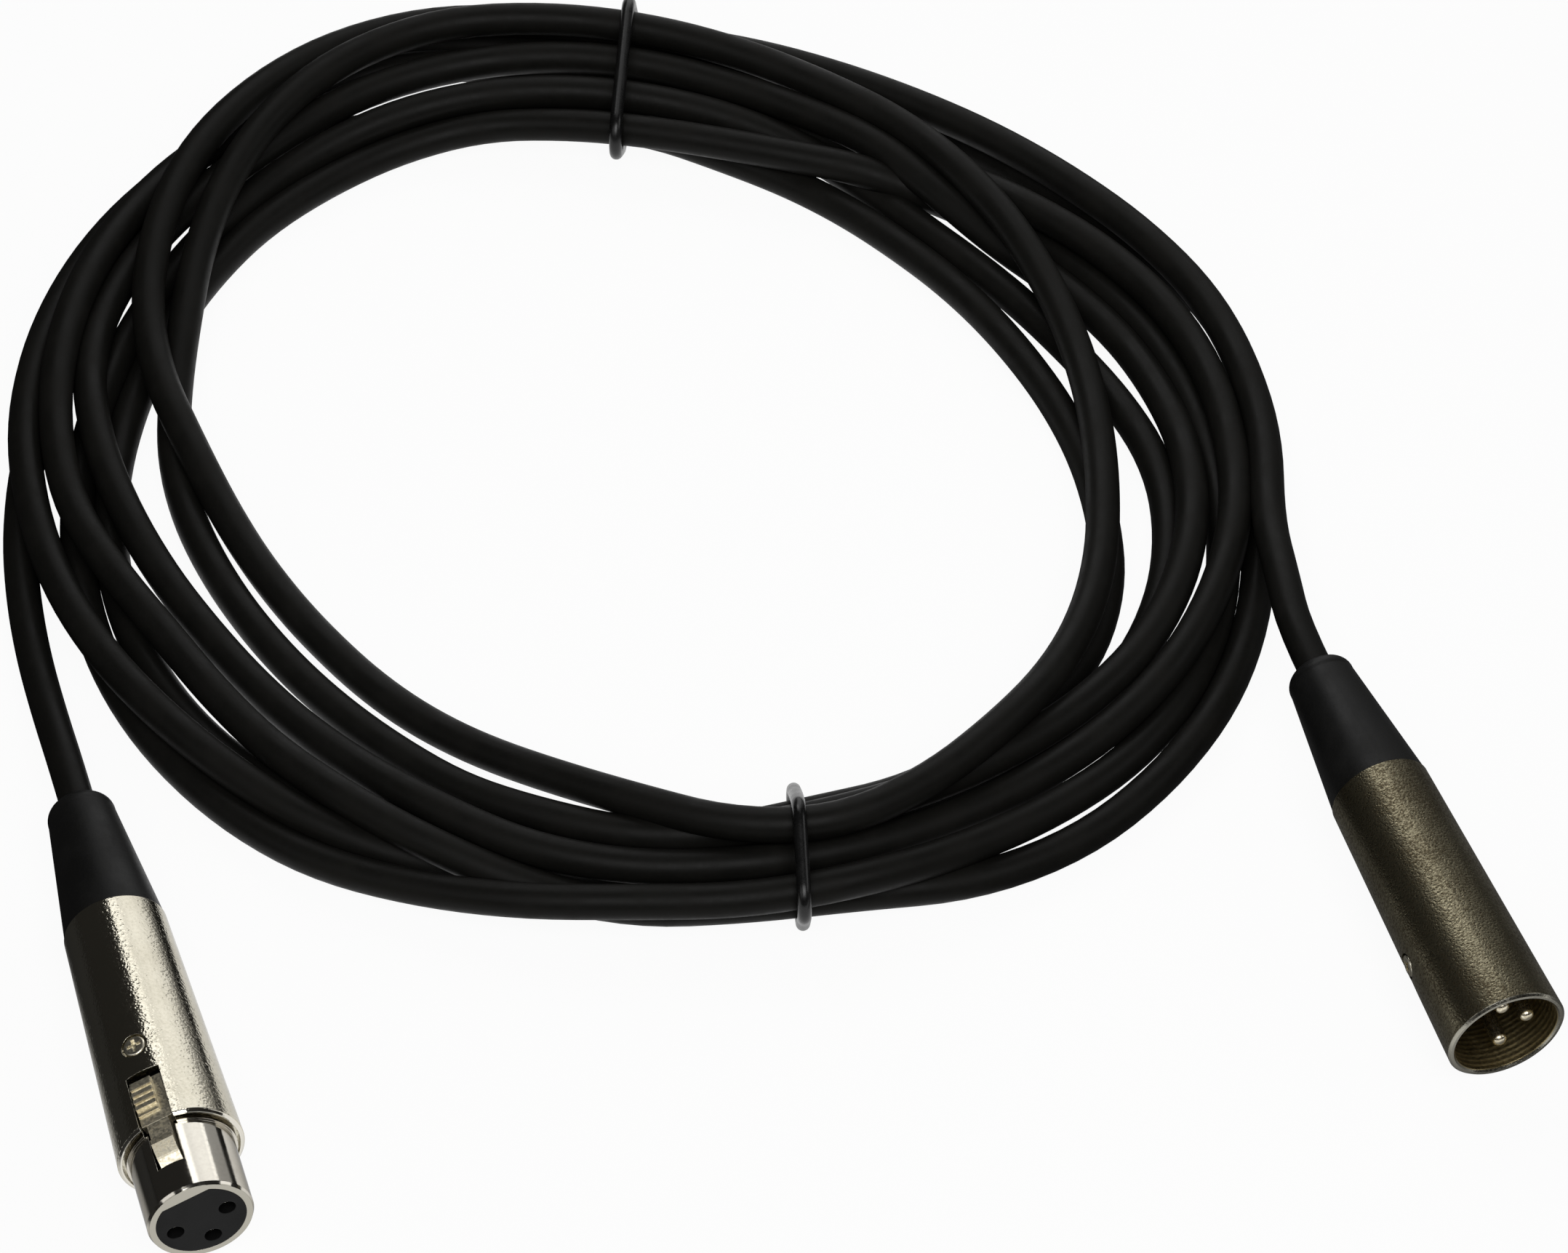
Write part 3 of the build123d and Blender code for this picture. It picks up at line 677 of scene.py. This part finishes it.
@dataclass
class CableCoil:
    """The cable: out of one boot, round the loose coil and into the other boot.

    Lengths are in millimetres, and angles in degrees from the X axis, falling along the cable.

    Attributes:
        diameter: the cable's diameter.
        tie_thickness: the diameter of a tie's section.
        centre: the coil's centre on the floor.
        exit: where the cable leaves the female connector's boot.
        female_tail: the cable's points between that boot and the coil.
        male_tail: its points between the coil and the male connector's boot.
        stations: the angles at which the turns' lanes are given.
        turns: the coil's turns, from the female connector's end.
        settle_step: the angle between two points of the settling cable.
        stages: the stages of the settling.
        layer_height: how high each layer starts.
        clearance: how far turns part beyond their touching.
        push: the share of an overlap that a turn gives way in a round.
        least_lift: the difference in height that two turns push along at least.
        tie_hold: how strongly a tie keeps the turns in their lanes.
        tie_reach: how far to each side of a tie its hold is felt.
        tie_width: how far to each side of a tie the cable is lifted by it.
        first, last: the angles of the coil's first and last points.
        point_step: the angle between two points of the cable.
        swell: how far the points stand out, since the curve passes inside them.
        curve_steps: the steps that the curve has between two points.
        section_steps: the steps in a quarter of the cable's section.
        tie_angles: where the ties are.
        tie_leans: how far their planes lean off the line from the coil's centre.
        tie_directions: the directions in which a tie's path is worked out.
        tie_points: the points of a tie's path.
    """

    diameter: float = 5.6
    tie_thickness: float = 2.2
    centre: tuple[float, float] = (-24.6, 108.7)
    exit: Point = (-110.5, 29.3, 7.2)
    female_tail: tuple[Point, ...] = (
        (-108.8, 23.6, 7.4), (-113.0, 37.5, 6.9), (-117.2, 51.2, 4.6), (-121.1, 64.9, 3.1),
        (-124.0, 78.3, 2.8), (-125.9, 92.7, 2.8),
    )
    male_tail: tuple[Point, ...] = (
        (76.6, 88.7, 9.6), (77.8, 74.9, 12.2), (79.2, 60.7, 13.3), (84.0, 47.0, 12.6),
    )
    stations: tuple[int, ...] = (
        210, 185, 160, 135, 114, 93, 70, 45, 20, -5, -30, -52, -74, -98, -124,
    )
    turns: tuple[Turn, ...] = (
        Turn((109, 102, 101, 100, 89.5, 78.5, 71, 66.5, 67.5, 74.5, 84, 86, 82.5, 85.5, 92),
             (0.3, 0, 0, 0, 0, 0, 0, 0, 0, 0, 0, 0, 0, 0, 0)),
        Turn((91, 88.5, 85.5, 87.5, 85.5, 74.5, 72, 83, 89.5, 95, 101.6, 101.3, 101.5, 97.5, 98.3),
             (0, 0, 0.3, 0.8, 1.2, 1.2, 1.3, 0.8, 0, 0, 0.3, 0.9, 1, 0.6, 0)),
        Turn((96, 91, 91, 92.5, 89, 82.5, 78.5, 72.5, 75.6, 87, 90.5, 87, 90, 89.5, 94),
             (0, 0.2, 0.3, 0.6, 1.2, 1, 1, 0.4, 0.2, 0, 0, 0, 0, 0.5, 1.5)),
        Turn((97, 99.2, 100.5, 105.3, 112, 94.5, 95, 93.5, 101.9, 101.7, 106.1, 107.2, 98.9, 96.2,
              89.5),
             (1.5, 1.5, 1.2, 0.5, 0, 0, 0, 0, 0, 0, 0, 0, 0, 0.4, 1.6)),
        Turn((86.5, 96, 100.5, 105, 104.9, 87.5, 82.5, 81.5, 92.4, 97.4, 98.6, 95, 93.5, 90.5,
              81.2),
             (1.6, 1.6, 1.7, 1.1, 0.5, 0, 0.8, 1.4, 1.2, 1.2, 1.2, 1.4, 1, 1.7, 1.8)),
        Turn((79.6, 87.8, 98, 98, 97.5, 90.5, 82.5, 76.5, 84, 89.2, 91.9, 89, 88, 83.2, 73.8),
             (1.7, 1.7, 1.6, 1.5, 1.6, 1, 1.7, 1.5, 1.3, 1, 1, 0.6, 1, 0.6, 0.5)),
        Turn((72, 75.8, 82.5, 96, 104.5, 96.5, 87.5, 80, 75, 75, 82, 89, 92.5, 75.5, 66.5),
             (0.5, 1.8, 3, 3.5, 3.5, 2.5, 3.2, 3, 2.7, 2, 2, 1.9, 2.5, 1.9, 1.5)),
        Turn((65, 72, 89, 104, 109.5, 99, 93.5, 93.5, 99.2, 102, 118),
             (1.5, 2.8, 3, 2.8, 2.2, 0, 1.3, 1.5, 1.5, 1.5, 2)),
    )
    settle_step: float = 5.0
    stages: tuple[Stage, ...] = (Stage(1501, 0.06, 0.05, 0.25), Stage(699, 0.01, 0.01, 0.1))
    layer_height: float = 7.0
    clearance: float = 0.05
    push: float = 0.25
    least_lift: float = 0.8
    tie_hold: float = 0.1
    tie_reach: float = 30.0
    tie_width: float = 15.0
    first: float = 180.0
    last: float = -2520.0
    point_step: float = 10.0
    swell: float = 1.0025
    curve_steps: int = 5
    section_steps: int = 8
    tie_angles: tuple[float, float] = (93.0, 286.0)
    tie_leans: tuple[float, float] = (-7.0, -12.5)
    tie_directions: int = 720
    tie_points: int = 160

    def near_ties(self, reach: float) -> np.ndarray:
        """How near each point of the settling cable is to a tie.

        Args:
            reach: how far to each side of a tie it counts, in degrees.

        Returns:
            1 at a tie, falling to 0 as the square of a cosine.
        """
        return sum(
            np.cos(np.clip((self.angles - tie + 180) % 360 - 180, -reach, reach)
                   * np.pi / (2.0 * reach)) ** 2
            for tie in self.tie_angles)

    def settle(self) -> None:
        """Let the turns sink and push each other aside until they rest.

        The cable is points every few degrees, each with a distance from the centre and a height.
        In each round every two points at the same angle that are nearer than a diameter part
        along the line between them, all sink a little, drift back to their lanes and follow their
        neighbours. The floor stops them, a little higher where a tie runs under them.
        """
        lanes = np.concatenate([turn.lanes for turn in self.turns]).astype(float)
        layers = np.concatenate([turn.layers for turn in self.turns]).astype(float)
        knots = np.concatenate([np.array(self.stations[:len(turn.lanes)]) - 360.0 * number
                                for number, turn in enumerate(self.turns)])
        self.angles = np.arange(knots[0], knots[-1] - 0.1, -self.settle_step)
        lane = self.smooth(lanes, knots, self.angles)
        layer = np.interp(-self.angles, -knots, layers)
        floor = self.diameter / 2 + self.tie_thickness * self.near_ties(self.tie_width)
        hold = self.tie_hold * self.near_ties(self.tie_reach)
        count = len(lane)
        round_trip = round(360 / self.settle_step)
        trips = [m * round_trip for m in range(1, len(self.turns)) if count > m * round_trip]
        lower = np.concatenate([np.arange(count - trip) for trip in trips])
        upper = np.concatenate([np.arange(trip, count) for trip in trips])
        side = np.where(layer[upper] == layer[lower], 1.0, np.sign(layer[upper] - layer[lower]))
        height = floor + layer * self.layer_height
        shift = np.zeros(count)
        for stage in self.stages:
            for _ in range(stage.rounds):
                radius = lane + shift
                out = radius[upper] - radius[lower]
                up = height[upper] - height[lower]
                lift = np.where(np.abs(up) > self.least_lift, up, self.least_lift * side)
                overlap = np.clip(self.diameter + self.clearance - np.hypot(out, up), 0, None)
                push = self.push * overlap
                size = np.hypot(out, lift)
                move_out, move_up = push * out / size, push * lift / size
                shift += (np.bincount(upper, move_out, count) - np.bincount(lower, move_out, count)
                          - (stage.drift + hold) * shift)
                height += (np.bincount(upper, move_up, count) - np.bincount(lower, move_up, count)
                           - stage.sink)
                for line in (shift, height):
                    line[1:-1] += stage.ease * (0.5 * (line[2:] + line[:-2]) - line[1:-1])
                height = np.maximum(height, floor)
        self.radii, self.heights = lane + shift, height
        gap = np.hypot(self.radii[upper] - self.radii[lower], height[upper] - height[lower])
        log.info("turns: nearest centres %.1f mm, highest centre %.1f mm", gap.min(), height.max())

    def smooth(self, values: np.ndarray, knots: np.ndarray, angles: np.ndarray) -> np.ndarray:
        """Values between knots, on cubic pieces that have the same slope where they meet.

        The slope at a knot is the mean of the slopes of the chords beside it, each weighted by the
        other one's span.

        Args:
            values: the values at the knots.
            knots: the knots' angles, falling.
            angles: where the values are wanted.

        Returns:
            The value at each angle.
        """
        span = -np.diff(knots)
        chord = np.diff(values) / span
        slope = np.concatenate([
            chord[:1], (chord[:-1] * span[1:] + chord[1:] * span[:-1]) / (span[1:] + span[:-1]),
            chord[-1:]])
        left = np.clip(np.searchsorted(-knots, -angles, side="right") - 1, 0, len(span) - 1)
        t = (knots[left] - angles) / span[left]
        return (values[left] * (1 + 2 * t) * (1 - t) ** 2
                + values[left + 1] * t * t * (3 - 2 * t)
                + span[left] * (slope[left] * t * (1 - t) ** 2 - slope[left + 1] * t * t * (1 - t)))

    def at(self, angle: float | np.ndarray, radius: np.ndarray, height: np.ndarray) -> np.ndarray:
        """Points round the coil, in millimetres.

        Args:
            angle: degrees from the X axis, one for all the points or one each.
            radius: the distances from the centre.
            height: the heights.

        Returns:
            One row for each point.
        """
        turn = np.radians(angle)
        return np.stack([self.centre[0] + radius * np.cos(turn),
                         self.centre[1] + radius * np.sin(turn), height], axis=-1)

    def settled(self, angles: np.ndarray) -> tuple[np.ndarray, np.ndarray]:
        """Read the settled cable.

        Args:
            angles: where along it, in degrees.

        Returns:
            The distances from the centre and the heights.
        """
        known = self.angles[::-1]
        return (np.interp(angles, known, self.radii[::-1]),
                np.interp(angles, known, self.heights[::-1]))

    def build(self, workshop: Workshop, ties: list[bpy.types.Object]) -> bpy.types.Object:
        """Make the cable as one smooth curve from boot to boot.

        Args:
            workshop: gives the finish.
            ties: the two ties, which are pieces on the cable; not used.

        Returns:
            The cable's curve.
        """
        angles = np.arange(self.first, self.last - 0.1, -self.point_step)
        radius, height = self.settled(angles)
        coil = self.at(angles, self.swell * radius, height)
        points = np.concatenate([self.female_tail, coil, self.male_tail]) * MM
        data = bpy.data.curves.new("cable", "CURVE")
        data.dimensions = "3D"
        line = data.splines.new("NURBS")
        line.points.add(len(points) - 1)
        line.points.foreach_set("co", np.column_stack([points, np.ones(len(points))]).ravel())
        line.order_u = 3
        line.use_endpoint_u = True
        line.resolution_u = self.curve_steps
        data.bevel_depth = self.diameter / 2 * MM
        data.bevel_resolution = self.section_steps
        data.use_fill_caps = True
        cable = bpy.data.objects.new("cable", data)
        bpy.context.scene.collection.objects.link(cable)
        workshop.dress(cable, Looks.CABLE_JACKET)
        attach(cable, "cable")
        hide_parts("cable_coil", "cable_tail_female", "cable_tail_male")
        return cable

    def tie(self, workshop: Workshop, angle: float, lean: float, node: str) -> bpy.types.Object:
        """Make a tie round the turns at one place.

        The tie's path is, in each direction round the bundle, the outermost turn's centre plus the
        cable's and the tie's radii that way, with points at even distances along it. Its plane is
        upright and leans off the line from the coil's centre, about the bundle's middle.

        Args:
            workshop: gives the finish.
            angle: where it is, in degrees from the X axis.
            lean: how far its plane leans off the line from the coil's centre, in degrees.
            node: the CAD tie that it stands for.

        Returns:
            The tie.
        """
        passes = angle - 360.0 * np.arange(len(self.turns) + 1)
        radius, height = self.settled(passes[(passes <= self.first) & (passes >= self.last)])
        away = np.linspace(0.0, 2.0 * np.pi, self.tie_directions, endpoint=False)
        reach = np.stack([np.cos(away), np.sin(away)], axis=-1)
        turns = np.stack([radius, height], axis=-1)
        outermost = turns[np.argmax(turns @ reach.T, axis=0)]
        loop = outermost + (self.diameter + self.tie_thickness) / 2 * reach
        closed = np.vstack([loop, loop[:1]])
        length = np.concatenate([[0.0], np.cumsum(np.linalg.norm(np.diff(closed, axis=0), axis=1))])
        even = np.linspace(0.0, length[-1], self.tie_points, endpoint=False)
        out, up = (np.interp(even, length, line) for line in closed.T)
        turned = np.tan(np.radians(lean)) * (1.0 - np.mean(radius) / out)
        path = self.at(angle + np.degrees(turned), out, up)
        piece = tube(node + "_band", path * MM, self.tie_thickness / 2 * MM)
        workshop.dress(piece, Looks.TIE_PLASTIC)
        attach(piece, "cable")
        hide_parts(node)
        return piece


@dataclass
class Connector:
    """One connector's CAD pieces and their finishes.

    Attributes:
        looks: the finish of each node.
    """

    looks: dict[str, Looks]

    def dress(self, workshop: Workshop) -> None:
        """Put a finish on each of the connector's pieces.

        Args:
            workshop: gives the finishes.
        """
        for node, look in self.looks.items():
            workshop.dress(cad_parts[node], look)


def inner_parts(end: str) -> dict[str, Looks]:
    """The pieces that both connectors have, with their finishes.

    Args:
        end: "female" or "male".

    Returns:
        The finish of each node.
    """
    return {
        f"{end}_screw": Looks.SCREW_METAL,
        f"{end}_boot": Looks.BOOT_RUBBER,
        f"{end}_clamp": Looks.CLAMP_PLASTIC,
        f"{end}_cable_end": Looks.CABLE_JACKET,
        f"{end}_wire_1": Looks.WIRE_RED,
        f"{end}_wire_2": Looks.WIRE_CLEAR,
        f"{end}_wire_3": Looks.WIRE_SCREEN,
    }


FEMALE = Connector({
    "female_shell": Looks.SATIN_NICKEL,
    "female_nose": Looks.BRIGHT_NICKEL,
    "female_insert": Looks.INSERT_PLASTIC,
    "female_insert_face": Looks.INSERT_PLASTIC,
    "female_contact_1": Looks.CONTACT_PLATING,
    "female_contact_2": Looks.CONTACT_PLATING,
    "female_contact_3": Looks.CONTACT_PLATING,
    "female_latch": Looks.LATCH_METAL,
    "female_latch_pin": Looks.SPRING_STEEL,
    "female_latch_spring": Looks.SPRING_STEEL,
    **inner_parts("female"),
})

MALE = Connector({
    "male_shell": Looks.PAINTED_SHADE_NICKEL,
    "male_insert": Looks.INSERT_PLASTIC,
    "male_pin_1": Looks.PIN_PLATING,
    "male_pin_2": Looks.PIN_PLATING,
    "male_pin_3": Looks.PIN_PLATING,
    **inner_parts("male"),
})


@dataclass(frozen=True)
class Panel:
    """A soft rectangular lamp.

    Attributes:
        place: its centre in metres.
        target: the point that it faces.
        size: its width and height in metres.
        glow: how bright its face is, where 1 is white.
        spread: the angle that it shines into, in degrees.
    """

    place: Point
    target: Point
    size: tuple[float, float]
    glow: float
    spread: float = 180.0

    def build(self, name: str) -> None:
        """Make the lamp.

        Args:
            name: the lamp's name.
        """
        data = bpy.data.lights.new(name, "AREA")
        data.shape = "RECTANGLE"
        data.size, data.size_y = self.size
        data.energy = self.glow * math.pi * self.size[0] * self.size[1]
        data.spread = math.radians(self.spread)
        lamp = bpy.data.objects.new(name, data)
        lamp.location = self.place
        facing = Vector(self.target) - Vector(self.place)
        lamp.rotation_euler = facing.to_track_quat("-Z", "Y").to_euler()
        lamp.visible_camera = False
        bpy.context.scene.collection.objects.link(lamp)


@dataclass
class Studio:
    """A white floor whose reflections are painted, a pool of light over near-black shade, soft
    panels and a dim room.

    Attributes:
        floor_half: half the floor's side in metres.
        room: how bright the room is, where 1 is white.
        room_colour: the room's colour.
        painted_shade_paper: the grey of the matt floor that the lamps light and the metal mirrors,
            near black as painted shade.
        white: the grey of the floor that is seen.
        white_share: how much of the floor's white is its own glow.
        painted_pool: where the painted pool of light that the metal mirrors ends: at the left, at
            the right and, at the right, towards the front.
        painted_pool_loss: how much of the painted light is lost past its right end.
        painted_pool_fade: how far the painted light takes to die away there.
        panels: the lamps' names and the lamps.
    """

    floor_half: float = 4.0
    room: float = 0.02
    room_colour: Colour = (1.0, 0.97, 0.92)
    # Near black, so that the metal mirrors painted shade where the floor is white.
    painted_shade_paper: float = 0.05
    white: float = 0.95
    white_share: float = 0.94
    # Painted pool of light: where the metal mirrors the floor's white glow.
    painted_pool: tuple[float, float, float] = (-0.098, 0.02, -0.035)
    painted_pool_loss: float = 0.9
    painted_pool_fade: float = 0.02
    panels: tuple[tuple[str, Panel], ...] = (
        ("back", Panel((0.02, 0.50, 0.33), (-0.10, -0.02, 0.0), (0.36, 0.78), 0.46, 110.0)),
        ("back_right", Panel((0.34, 0.60, 0.27), (0.10, 0.0, 0.1), (0.22, 0.50), 0.35)),
        ("back_left", Panel((-0.11, 0.40, 0.42), (0.10, 0.0, 0.0), (0.24, 0.24), 0.15, 40.0)),
        ("front", Panel((0.1, -1.0, 1.5), (0.0, 0.08, 0.0), (1.5, 1.0), 3.9)),
        ("right", Panel((1.3, 0.1, 0.75), (0.0, 0.08, 0.0), (1.0, 0.6), 1.2)),
        ("left", Panel((-1.2, -0.75, 0.9), (0.0, 0.08, 0.0), (0.8, 0.8), 1.0)),
    )

    def build(self) -> None:
        """Make the floor, the world and the lamps."""
        self.floor()
        self.world()
        for name, panel in self.panels:
            panel.build(name)

    def floor(self) -> None:
        """Make the floor: white to the eye, under the object's soft shadow; to reflections, a
        painted pool of white glow over painted near-black shade.
        """
        half = self.floor_half
        mesh = bpy.data.meshes.new("floor")
        mesh.from_pydata([(-half, -half, 0), (half, -half, 0), (half, half, 0), (-half, half, 0)],
                         [], [(0, 1, 2, 3)])
        floor = bpy.data.objects.new("floor", mesh)
        bpy.context.scene.collection.objects.link(floor)
        paint = Paint("floor_with_painted_pool")
        across, along = (paint.node("ShaderNodeSeparateXYZ", axis, Vector=paint.place)
                         for axis in ("X", "Y"))
        # Painted pool of light: reflections see the white glow only inside this patch, and little
        # of it past its right end.
        left, right, front = self.painted_pool
        painted_pool = (across.ramp(left - self.painted_pool_fade, left)
                * (1.0 - self.painted_pool_loss * across.ramp(right, right + self.painted_pool_fade)
                   * along.ramp(front, front + self.painted_pool_fade)))
        eye, through, mirror = (paint.node("ShaderNodeLightPath", f"Is {ray} Ray")
                                for ray in ("Camera", "Transmission", "Glossy"))
        # Painted shade: outside the pool, reflections and bounced light see the near-black matt
        # floor.
        painted_mirror_floor = self.glowing(paint, self.painted_shade_paper, mirror * painted_pool)
        seen = self.glowing(paint, self.white, self.white_share)
        paint.show(paint.node("ShaderNodeMixShader", Fac=eye + through, Shader=painted_mirror_floor,
                              Shader_001=seen))
        mesh.materials.append(paint.material)

    def glowing(self, paint: Paint, grey: float, share: Value | float) -> Value:
        """Mix a white glow over a matt surface.

        Args:
            paint: the material that it belongs to.
            grey: the matt surface's grey.
            share: the glow's share.

        Returns:
            The mixed shader.
        """
        matt = paint.node("ShaderNodeBsdfDiffuse", Color=(grey, grey, grey, 1.0))
        glow = paint.node("ShaderNodeEmission")
        return paint.node("ShaderNodeMixShader", Fac=share, Shader=matt, Shader_001=glow)

    def world(self) -> None:
        """Make the dim room round the table."""
        world = bpy.data.worlds.new("room")
        world.use_nodes = True
        back = world.node_tree.nodes["Background"]
        back.inputs["Color"].default_value = (*self.room_colour, 1.0)
        back.inputs["Strength"].default_value = self.room
        bpy.context.scene.world = world


def main() -> None:
    """Build the scene: camera, cable, ties, connectors and studio."""
    logging.basicConfig(level=logging.INFO, format="%(name)s %(message)s")
    bpy.context.scene.view_settings.view_transform = "Standard"
    Viewpoint().build()
    workshop = Workshop()
    coil = CableCoil()
    coil.settle()
    places = zip(coil.tie_angles, coil.tie_leans, ("tie_top", "tie_bottom"))
    ties = [coil.tie(workshop, angle, lean, node) for angle, lean, node in places]
    coil.build(workshop, ties)
    FEMALE.dress(workshop)
    MALE.dress(workshop)
    Studio().build()


if __name__ == "__main__":
    main()
